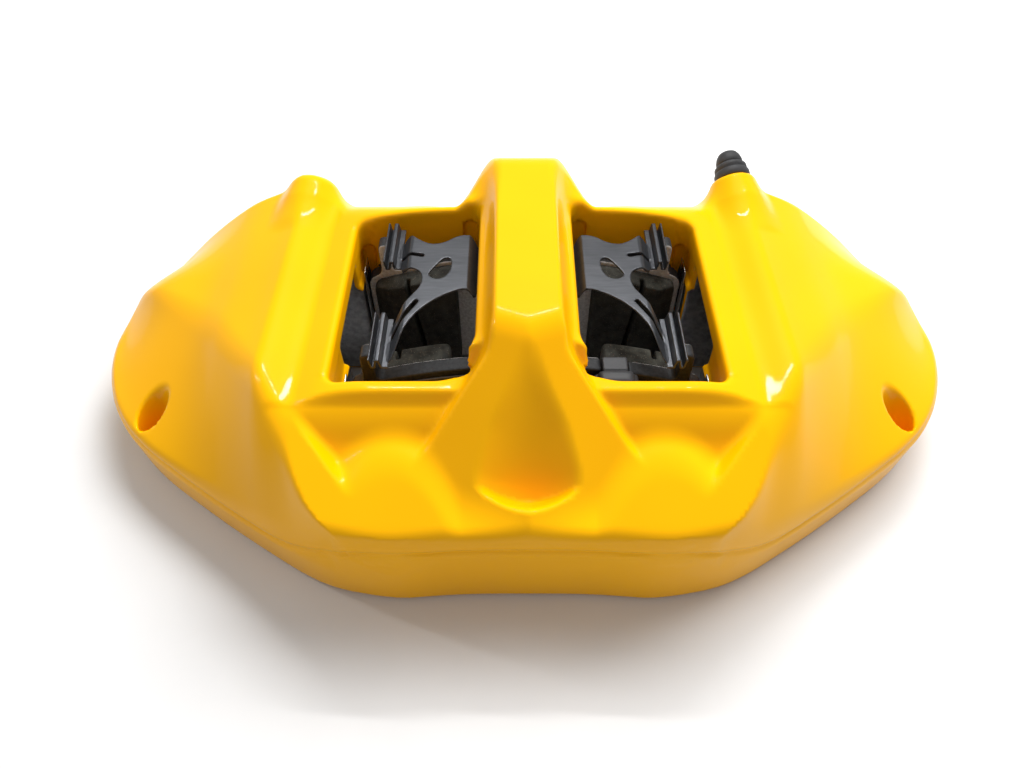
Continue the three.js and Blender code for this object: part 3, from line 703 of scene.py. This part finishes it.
PISTON = two_tone("piston", (0.50, 0.50, 0.49), (0.64, 0.64, 0.62), 900, (0.18, 0.30), 1.0,
                  relief=0.10, stretch=(0.2, 4, 0.2))


# ---------- the casting's piece ----------
CASTING_BOX = ((-180, -99, -4), (180, 86, 94))
CASTING_PITCH = 1.4
PAINT_EDGE = 0.25


def make_casting():
    """Each vertex of the casting also says how far it is inside the bare surfaces: the machined ones, and
    the insides of the pad bay and disc slot, whose bare grey is painted shade.
    """
    piece = skin("casting", casting, *CASTING_BOX, CASTING_PITCH)
    points = np.empty(3 * len(piece.data.vertices))
    piece.data.vertices.foreach_get("co", points)
    points = points.reshape(-1, 3) / MM - np.array([0, DISC_Y, 0])
    bare = piece.data.attributes.new("bare", "FLOAT", "POINT")
    # The bare depth covers the machined surfaces and the painted shade inside the pad bay and disc slot.
    depth = np.clip(PAINT_EDGE - machined_and_painted_shade(*points.T), -3, 3)
    bare.data.foreach_set("value", depth.astype(np.float32))
    fitted(piece, "caliper", "caliper_body", PAINT)


# ---------- pads ----------
SIDES = {"outboard": -1, "inboard": 1}
ENDS = {"left": -1, "right": 1}
PLATE_RADIUS = 183.5
PLATE_HALF_LENGTH = 63.8
PLATE_BOTTOM = 2
PLATE_STEP_Z = 8
EAR_X = (53.1, 57.9)
EAR_Z = (40, 66)
KEY_HOLES = ((37, 22), (52, 40))
KEY_HOLE_RADIUS = 3
NOTCH_HALF_WIDTH = 5
NOTCH_BOTTOM = 53.6
LINING_RADIUS = 182
LINING_BOTTOM = 5
LINING_INNER_END = 27.5
LINING_OUTER_END = 61
LINING_FRONT_Y = 16.9
LINING_BACK_Y = 25.9
CHAMFER_START = 54
WEAR_GROOVE_X = 44
WEAR_GROOVE_FLOOR_Y = 21.5
SHIM_RADIUS = 181
SHIM_HALF_LENGTH = 61
SHIM_BOTTOM = 6
SHIM_FACES = (32.1, 32.9)
SHIM_NOTCH_HALF_WIDTH = 7.5
SHIM_NOTCH_BOTTOM = 51.6


def backing_plate(sign):
    def field(x, y, z):
        u = np.abs(x)
        v = y * sign
        sector = smax(np.hypot(x, z - DISC_AXIS_Z) - PLATE_RADIUS, u - PLATE_HALF_LENGTH, 4)
        plate = smax(sector, PLATE_BOTTOM - z, 3)
        ear = smax(between(u, *EAR_X), between(z, *EAR_Z), 2.5)
        plate = smin(plate, ear, 3)
        if sign < 0:
            notch = smax(np.abs(x - SENSOR_X) - NOTCH_HALF_WIDTH, NOTCH_BOTTOM - z, 1.5)
            plate = smax(plate, -notch, 1)
        # Holes that key the lining moulding.
        for hole_u, hole_z in KEY_HOLES:
            plate = smax(plate, -(np.hypot(u - hole_u, z - hole_z) - KEY_HOLE_RADIUS), 0.6)
        plate = smax(plate, between(v, PLATE_INNER_Y, PLATE_OUTER_Y), 0.8)
        if sign > 0:
            # A shallow step along the lower edge of the back.
            lower_step = smax(z - PLATE_STEP_Z, PLATE_OUTER_Y - 1 - v, 0.4)
            plate = smax(plate, -lower_step, 0.5)
        return plate

    return field


def lining(sign, side):
    """A friction block: concentric top, chamfered outer end, and a narrow groove across it."""
    def field(x, y, z):
        u = x * side
        v = y * sign
        block = smax(np.hypot(x, z - DISC_AXIS_Z) - LINING_RADIUS,
                     between(u, LINING_INNER_END, LINING_OUTER_END), 3)
        block = smax(block, LINING_BOTTOM - z, 2.5)
        block = smax(block, between(v, LINING_FRONT_Y, LINING_BACK_Y), 0.9)
        chamfer = (u - CHAMFER_START) * 0.6 - (v - LINING_FRONT_Y) * 0.8
        block = smax(block, chamfer, 0.8)
        across = np.abs(u - WEAR_GROOVE_X - 0.12 * (z - 30)) - 0.9
        groove = smax(across, v - WEAR_GROOVE_FLOOR_Y, 0.5)
        return smax(block, -groove, 0.6)

    return field


def shim(sign):
    """A thin sheet between pad and pistons, with a round window in its middle and four slots round it."""
    def field(x, y, z):
        u = np.abs(x)
        v = y * sign
        edges = np.maximum(u - SHIM_HALF_LENGTH, SHIM_BOTTOM - z)
        sheet = smax(np.hypot(x, z - DISC_AXIS_Z) - SHIM_RADIUS, edges, 3)
        if sign < 0:
            notch = smax(np.abs(x - SENSOR_X) - SHIM_NOTCH_HALF_WIDTH, SHIM_NOTCH_BOTTOM - z, 1)
            sheet = smax(sheet, -notch, 0.5)
        sheet = smax(sheet, -(np.hypot(x, z - 30) - 9), 0.5)
        for slot_z in (16, 48):
            slot = rounded_rectangle(between(u, 14, 24), between(z, slot_z - 2, slot_z + 2), 1.9)
            sheet = smax(sheet, -slot, 0.3)
        return smax(sheet, between(v, *SHIM_FACES), 0.3)

    return field


def wear_sensor(x, y, z):
    """A clip-in head that hangs in front of the outboard plate, with a round lug at each side."""
    u = np.abs(x - SENSOR_X)
    head = smax(u - 6.3 + 0.22 * np.maximum(58 - z, 0), between(y, -39.8, -33.2), 2)
    head = smax(head, between(z, 53, 61), 2.5)
    neck = smax(u - 2.8, smax(between(y, -35, -32), between(z, 54.8, 58.8), 0.8), 0.8)
    stem = smax(smax(u - 4.5, between(y, -33, -26.6), 0.8), between(z, 54.1, 59.8), 0.8)
    lug = smax(np.hypot(u - 6.2, z - 57.2) - 1.7, between(y, -38, -34), 0.5)
    return smin(smin(smin(head, neck, 0.6), stem, 0.6), lug, 0.4)


def make_pads():
    for side_name, sign in SIDES.items():
        body = f"{side_name}_pad"
        y_range = sorted((sign * (PLATE_INNER_Y - 1.5), sign * (PLATE_OUTER_Y + 1.5)))
        plate = skin(f"pad_plate_{side_name}", backing_plate(sign),
                     (-66, y_range[0], -1), (66, y_range[1], 69), (0.9, 0.6, 0.9))
        fitted(plate, body, f"backing_plate_{side_name}", PLATE)
        y_range = sorted((sign * 31.6, sign * 33.4))
        sheet = skin(f"pad_shim_{side_name}", shim(sign),
                     (-63, y_range[0], 3), (63, y_range[1], 61), (0.8, 0.2, 0.8))
        fitted(sheet, body, f"shim_{side_name}", SHIM)
        for end_name, side in ENDS.items():
            y_range = sorted((sign * 15.5, sign * 27.3))
            x_range = sorted((side * 25, side * 63))
            block = skin(f"friction_block_{side_name}_{end_name}", lining(sign, side),
                         (x_range[0], y_range[0], 3), (x_range[1], y_range[1], 61), 0.7)
            fitted(block, body, f"lining_{side_name}_{end_name}", LINING)
    sensor = skin("pad_wear_sensor", wear_sensor, (22, -41.5, 51), (40, -25, 63), 0.35)
    fitted(sensor, "outboard_pad", "wear_sensor", PLASTIC)


# ---------- pad spring and abutments ----------
WING = [
    (17.6, -8), (17.6, 21), (20.5, 25.6), (26, 25.2), (31.4, 20.6), (37.7, 20), (47.8, 29.5), (47.8, 7.2),
    (39, 6.2), (37.6, -2), (42.3, -9.6), (47.8, -19.5), (47.8, -39), (44.2, -31.2), (42, -22.3),
    (37.9, -15.2), (32.4, -9.6), (25.9, -5.6), (21.5, -4.2),
]
TEARDROP = [(36.6, 2.2), (33.4, 8), (30.5, 12.4), (27.6, 11.8), (27.8, 4.6), (31.4, 0)]
CHANNEL = [(53.2, 70.6), (52.6, 67.1), (51.4, 67.1), (50.8, 70.4), (50.0, 70.4), (49.3, 67.1), (47.4, 67.1)]
CHANNEL_Y = (22.5, -27)
CHANNEL_HALF_LENGTH = 11.5
SHEET = 0.8
SPRING_Z = 71.6
STRAP_DROP = 3.3
EDGE_DROP = 4.5
BEND_SLOPE = 1.18
CUTS = (((38.9, 13.6), (48, 15.6)), ((39.2, -11), (48, -27)))
CUT_HALF_WIDTH = 0.8
ABUTMENT_Y = {"outboard": -34.5, "inboard": 28.5}
ABUTMENT_FACES = (64.1, 64.7)
ABUTMENT_HEIGHTS = (6, 54)
ABUTMENT_HALF_WIDTH = 6.5
ABUTMENT_HOLE_Z = 30
ABUTMENT_HOLE_RADIUS = 2


def pad_spring(x, y, z):
    """The anti-rattle spring: two wings, a strap under the bridge, and four folded channels on the pads."""
    u = np.abs(x)
    height = SPRING_Z - STRAP_DROP * step(21.8, 17.6, u) - EDGE_DROP * step(42.6, 47.6, u)
    at_edge = step(42.6, 44, u) - step(46.2, 47.6, u)
    tilt = np.hypot(1, BEND_SLOPE * at_edge + BEND_SLOPE * (u < 21.8))
    plan = polygon(u, y, rounded(WING))
    strap = smax(u - 19, between(y, -1, 20), 3)
    plan = smin(plan, strap, 3)
    plan = smax(plan, -polygon(u, y, rounded(TEARDROP)), 0.3)
    for cut in CUTS:
        plan = smax(plan, CUT_HALF_WIDTH - chain(u, y, cut), 0.3)
    sheet = smax(np.abs(z - height) / tilt - SHEET / 2, plan, 0.35)
    fold = chain(u, z, CHANNEL) - SHEET / 2
    for middle in CHANNEL_Y:
        sheet = smin(sheet, smax(fold, np.abs(y - middle) - CHANNEL_HALF_LENGTH, 0.35), 0.4)
    return sheet


def abutment(side, middle_y):
    """A stainless plate that a pad's end slides on, narrower at its top, with a round hole."""
    def field(x, y, z):
        u = x * side
        plate = smax(between(u, *ABUTMENT_FACES), between(z, *ABUTMENT_HEIGHTS), 0.25)
        narrowed = np.abs(y - middle_y) - ABUTMENT_HALF_WIDTH + 1.5 * step(44, 50, z)
        plate = smax(plate, narrowed, 0.4)
        hole = np.hypot(y - middle_y, z - ABUTMENT_HOLE_Z) - ABUTMENT_HOLE_RADIUS
        return smax(plate, -hole, 0.3)

    return field


def make_steelwork():
    spring = skin("anti_rattle_spring", pad_spring, (-55, -41, 65), (55, 36, 74), (0.45, 0.45, 0.3))
    fitted(spring, "caliper", "pad_spring", SPRING)
    for side_name, middle_y in ABUTMENT_Y.items():
        for end_name, side in ENDS.items():
            name = f"{side_name}_{end_name}"
            x_range = sorted((side * 63.7, side * 65.1))
            plate = skin(f"abutment_{name}", abutment(side, middle_y), (x_range[0], middle_y - 8, 5),
                         (x_range[1], middle_y + 8, 55.5), (0.15, 0.5, 0.6))
            fitted(plate, "caliper", f"abutment_plate_{name}", STAINLESS)


# ---------- pistons, seals and boots ----------
PISTON_LENGTH = 28
PISTON_CUP_FLOOR = 22
BOOT_LIP = 3.6
BOOT_RADIUS = (18.8, 19.5)
FOLD_HEIGHT = 0.55
BOOT_THICKNESS = 0.6
BOOT_FOLDS = {"outboard": 3, "inboard": 1}


def piston_cup():
    """Section of a piston: its open rim in front, with a groove for the boot's lip outside."""
    radius = PISTON_RADIUS
    back = PISTON_LENGTH
    return [
        (0, PISTON_CUP_FLOOR), (radius - 6, PISTON_CUP_FLOOR), (radius - 4.6, 20.6), (radius - 4.6, 1),
        (radius - 4, 0.2), (radius - 1.5, 0), (radius - 1, 0.5), (radius - 1, 3), (radius - 2, 3.2),
        (radius - 2, 5.4), (radius - 0.4, 6.2), (radius, 6.8), (radius, back - 1.4),
        (radius - 0.3, back - 0.6), (radius - 1.2, back), (0, back),
    ]


def square_seal(front, back):
    """Section of a seal, with bevelled corners."""
    inner = BORE_RADIUS - 0.05
    outer = GROOVE_RADIUS - 0.3
    bevel = 0.3
    return [
        (inner, front + bevel), (BORE_RADIUS + 0.2, front), (GROOVE_RADIUS - 0.5, front),
        (outer, front + bevel), (outer, back - bevel), (GROOVE_RADIUS - 0.5, back),
        (BORE_RADIUS + 0.2, back), (inner, back - bevel),
    ]


def wavy_boot(back, folds):
    """Section of a bellows from the piston's lip back to its bead in the seat."""
    steps = 10 * folds
    outer, inner = [], []
    for i in range(steps + 1):
        t = i / steps
        middle = mix(*BOOT_RADIUS, t) + FOLD_HEIGHT * math.sin(2 * math.pi * folds * t)
        height = mix(BOOT_LIP, back - 3.2, t)
        outer.append((middle + BOOT_THICKNESS / 2, height))
        inner.append((middle - BOOT_THICKNESS / 2, height))
    bead = [(SEAT_RADIUS - 0.3, back - 3), (SEAT_RADIUS - 0.3, back), (SEAT_RADIUS - 2.4, back)]
    return outer + bead + inner[::-1]


def make_hydraulics():
    for side_name, sign in SIDES.items():
        mouth = BAY_MIDDLE_Y + sign * BAY_HALF_DEPTH
        mouth_depth = sign * mouth - PISTON_FACE_Y
        for end_name, side in ENDS.items():
            name = f"{side_name}_{end_name}"
            base = (side * BORE_X, sign * PISTON_FACE_Y, BORE_Z)
            axis = (0, sign, 0)
            piece = turned(f"piston_cup_{name}", piston_cup(), base, axis, 128)
            fitted(piece, f"piston_{name}", f"piston_{name}", PISTON)
            front = mouth_depth + GROOVE_FROM_MOUTH + 0.3
            seal = square_seal(front, front + GROOVE_WIDTH - 0.6)
            piece = turned(f"square_seal_{name}", seal, base, axis)
            fitted(piece, "caliper", f"piston_seal_{name}", RUBBER)
            boot = wavy_boot(mouth_depth + SEAT_DEPTH - 0.3, BOOT_FOLDS[side_name])
            piece = turned(f"bellows_{name}", boot, base, axis, sharp=60)
            fitted(piece, None, f"dust_boot_{name}", RUBBER)
            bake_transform(piece)


# ---------- bleed screw, cap, inserts and plugs ----------
SCREW_RADIUS = 3.7
SCREW_END = -13.5
SCREW_HOLE_RADIUS = 0.9
SCREW_HOLE_END = -10
NUT_ACROSS = 9.5
NUT_HEIGHT = 4.4
NIPPLE_RADIUS = 2.6
NIPPLE_LENGTH = 11
PLUG_RADIUS = 4.5
PLUG_LENGTH = 7
PLUG_THREAD = 0.18
PLUG_SOCKET_ACROSS = 4
PLUG_SOCKET_DEPTH = 3.6
CROSSOVER_PLUG_Y = 65
INSERT_LENGTH = 20


def hexagon(a, b, across):
    """Distance in a plane to a hexagon of that width across its flats."""
    far = None
    for i in range(3):
        angle = math.radians(60 * i)
        flat = np.abs(a * math.cos(angle) + b * math.sin(angle)) - across / 2
        far = flat if far is None else np.maximum(far, flat)
    return far


def bleed_frame(x, y, z):
    """Coordinates on the bleed screw's axis: two across it and one along it."""
    turn = Vector((0, 0, 1)).rotation_difference(Vector(BLEED_AXIS)).to_matrix()
    dx, dy, dz = x - BLEED_BASE[0], y - BLEED_BASE[1], z - BLEED_BASE[2]
    return [turn[0][i] * dx + turn[1][i] * dy + turn[2][i] * dz for i in range(3)]


def bleed_screw(x, y, z):
    """Threaded shank, hexagon and hose barb, drilled from its tip most of the way down."""
    a, b, t = bleed_frame(x, y, z)
    radial = np.sqrt(a * a + b * b + 1e-6)
    thread = 0.22 * np.sin(2 * math.pi * t + np.arctan2(b, a)) * step(0, -1, t)
    point = 2.2 * step(SCREW_END + 2, SCREW_END, t)
    shank = smax(radial - SCREW_RADIUS - thread + point, between(t, SCREW_END, 0.6), 0.5)
    nut = smax(hexagon(a, b, NUT_ACROSS), between(t, 0.4, NUT_HEIGHT), 0.5)
    barb = radial - NIPPLE_RADIUS - 0.6 * step(6.4, 8.2, t) + 0.9 * step(8.4, NIPPLE_LENGTH, t)
    nipple = smax(barb, between(t, 3, NIPPLE_LENGTH), 0.6)
    solid = smin(smin(shank, nut, 0.4), nipple, 0.6)
    hole = smax(radial - SCREW_HOLE_RADIUS, SCREW_HOLE_END - t, 0.3)
    return smax(solid, -hole, 0.3)


CAP_PROFILE = [
    (7.0, 0.1), (7.4, 0.5), (7.4, 3.2), (7.1, 3.7), (6.5, 4.0), (6.5, 4.6), (6.8, 5.0), (6.7, 6.4),
    (6.2, 7.0), (5.5, 7.2), (5.3, 7.6), (5.6, 8.1), (5.5, 9.6), (5.0, 11.4), (4.1, 12.9), (2.9, 13.7),
    (1.4, 14.05), (0, 14.1), (0, 11.6), (3.6, 11.6), (3.6, 4.9), (5.8, 4.9), (5.8, 0.1),
]


def plug(base, direction):
    """A flush threaded plug with a hexagon socket; its open face is at the base."""
    def field(x, y, z):
        a, b = [w for w, d in zip((x - base[0], y - base[1], z - base[2]), direction) if d == 0]
        t, radial = along(x, y, z, base, direction)
        thread = PLUG_THREAD * (1 + np.sin(2 * math.pi * t + np.arctan2(b, a)))
        solid = smax(radial - PLUG_RADIUS + thread, between(t, 0, PLUG_LENGTH), 0.8)
        socket = smax(hexagon(a, b, PLUG_SOCKET_ACROSS), t - PLUG_SOCKET_DEPTH, 0.4)
        return smax(solid, -socket, 0.4)

    return field


def insert_profile():
    """A threaded bush: fine ridges outside and a coarser thread inside."""
    outer = [(9 - 0.25 * (i % 2), 0.3 + 0.5 * i) for i in range(39)]
    inner = [(5.1 + 0.45 * (i % 2), 19.3 - 0.625 * i) for i in range(31)]
    return [(8.4, 0)] + outer + [(8.4, 19.7), (6, 19.7)] + inner + [(6, 0)]


def make_fittings():
    reach = 14 * np.array(BLEED_AXIS)
    low = BLEED_BASE + np.minimum(0, reach) - (11, 14, 11)
    high = BLEED_BASE + np.maximum(0, reach) + 7
    screw = skin("bleed_nipple", bleed_screw, low, high, 0.32)
    fitted(screw, "bleed_screw", "bleed_screw", ZINC)
    cap = turned("bleed_nipple_cap", CAP_PROFILE, BLEED_BASE, BLEED_AXIS, sharp=50)
    fitted(cap, "bleed_cap", "bleed_cap", RUBBER)
    for end_name, side in ENDS.items():
        base = (side * LUG_X, LUG_REAR_Y - INSERT_LENGTH, LUG_Z)
        bush = turned(f"threaded_bush_{end_name}", insert_profile(), base, (0, 1, 0), 64)
        fitted(bush, "caliper", f"mount_insert_{end_name}", ZINC)
    for side_name, y in GALLERY_Y.items():
        base = (CROSSOVER_X, y, 0.3)
        piece = skin(f"socket_plug_{side_name}", plug(base, (0, 0, 1)),
                     (CROSSOVER_X - 6, y - 6, -1), (CROSSOVER_X + 6, y + 6, 9), 0.35)
        fitted(piece, "caliper", f"gallery_plug_{side_name}", ZINC)
    base = (CROSSOVER_X, CROSSOVER_PLUG_Y, CROSSOVER_Z)
    piece = skin("socket_plug_crossover", plug(base, (0, -1, 0)),
                 (CROSSOVER_X - 6, CROSSOVER_PLUG_Y - 8.5, CROSSOVER_Z - 6),
                 (CROSSOVER_X + 6, CROSSOVER_PLUG_Y + 1.5, CROSSOVER_Z + 6), 0.35)
    fitted(piece, "caliper", "crossover_plug", ZINC)


# ---------- stage, lights and camera ----------
FLOOR_REACH = 2.5
FLOOR_GAP = 0.0006
WORLD_STRENGTH = 0.42
TARGET = (0, 0, 0.04)
LENS = 27.07
CAMERA_PLACE = (-5.2 * MM, (DISC_Y - 209) * MM, 262 * MM)
CAMERA_TILT = 40


def area_light(name, place, size, energy, in_reflections=True):
    light = bpy.data.lights.new(name, "AREA")
    light.shape = "RECTANGLE"
    light.size, light.size_y = size
    light.energy = energy
    lamp = bpy.data.objects.new(name, light)
    lamp.location = place
    lamp.rotation_euler = (Vector(TARGET) - Vector(place)).to_track_quat("-Z", "Y").to_euler()
    lamp.visible_glossy = in_reflections
    bpy.context.scene.collection.objects.link(lamp)


def make_floor():
    mesh = bpy.data.meshes.new("floor")
    corners = [(-1, -1), (1, -1), (1, 1), (-1, 1)]
    mesh.from_pydata([(a * FLOOR_REACH, b * FLOOR_REACH, 0) for a, b in corners], [], [(0, 1, 2, 3)])
    floor = bpy.data.objects.new("floor", mesh)
    floor.location.z = -FLOOR_GAP
    bpy.context.scene.collection.objects.link(floor)
    grey = two_tone("floor", (0.70, 0.70, 0.70), (0.73, 0.73, 0.73), 30, (0.7, 0.8), relief=0.0)
    floor.data.materials.append(grey)


def make_lights():
    """An even white surround, a soft main light that leaves no reflection, and two narrow glints."""
    world = bpy.data.worlds.new("studio")
    bpy.context.scene.world = world
    world.use_nodes = True
    background = world.node_tree.nodes["Background"]
    background.inputs["Color"].default_value = (1, 1, 1, 1)
    background.inputs["Strength"].default_value = WORLD_STRENGTH
    area_light("key", (0.35, 0.45, 0.85), (0.9, 0.6), 15.5, in_reflections=False)
    area_light("glint", (0.05, 0.6, 0.9), (0.6, 0.03), 4)
    area_light("left_glint", (-0.8, 0.2, 0.6), (0.03, 0.4), 1.2)


def make_camera():
    """The photograph's view: above and in front of the outboard face, looking 50 degrees down."""
    camera = bpy.data.cameras.new("camera")
    camera.lens = LENS
    camera.sensor_width = 36
    holder = bpy.data.objects.new("camera", camera)
    holder.location = CAMERA_PLACE
    holder.rotation_euler = (math.radians(CAMERA_TILT), 0, 0)
    bpy.context.scene.collection.objects.link(holder)
    bpy.context.scene.camera = holder


make_camera()
make_floor()
make_lights()
make_casting()
make_pads()
make_steelwork()
make_hydraulics()
make_fittings()
bpy.context.scene.view_settings.view_transform = "Standard"
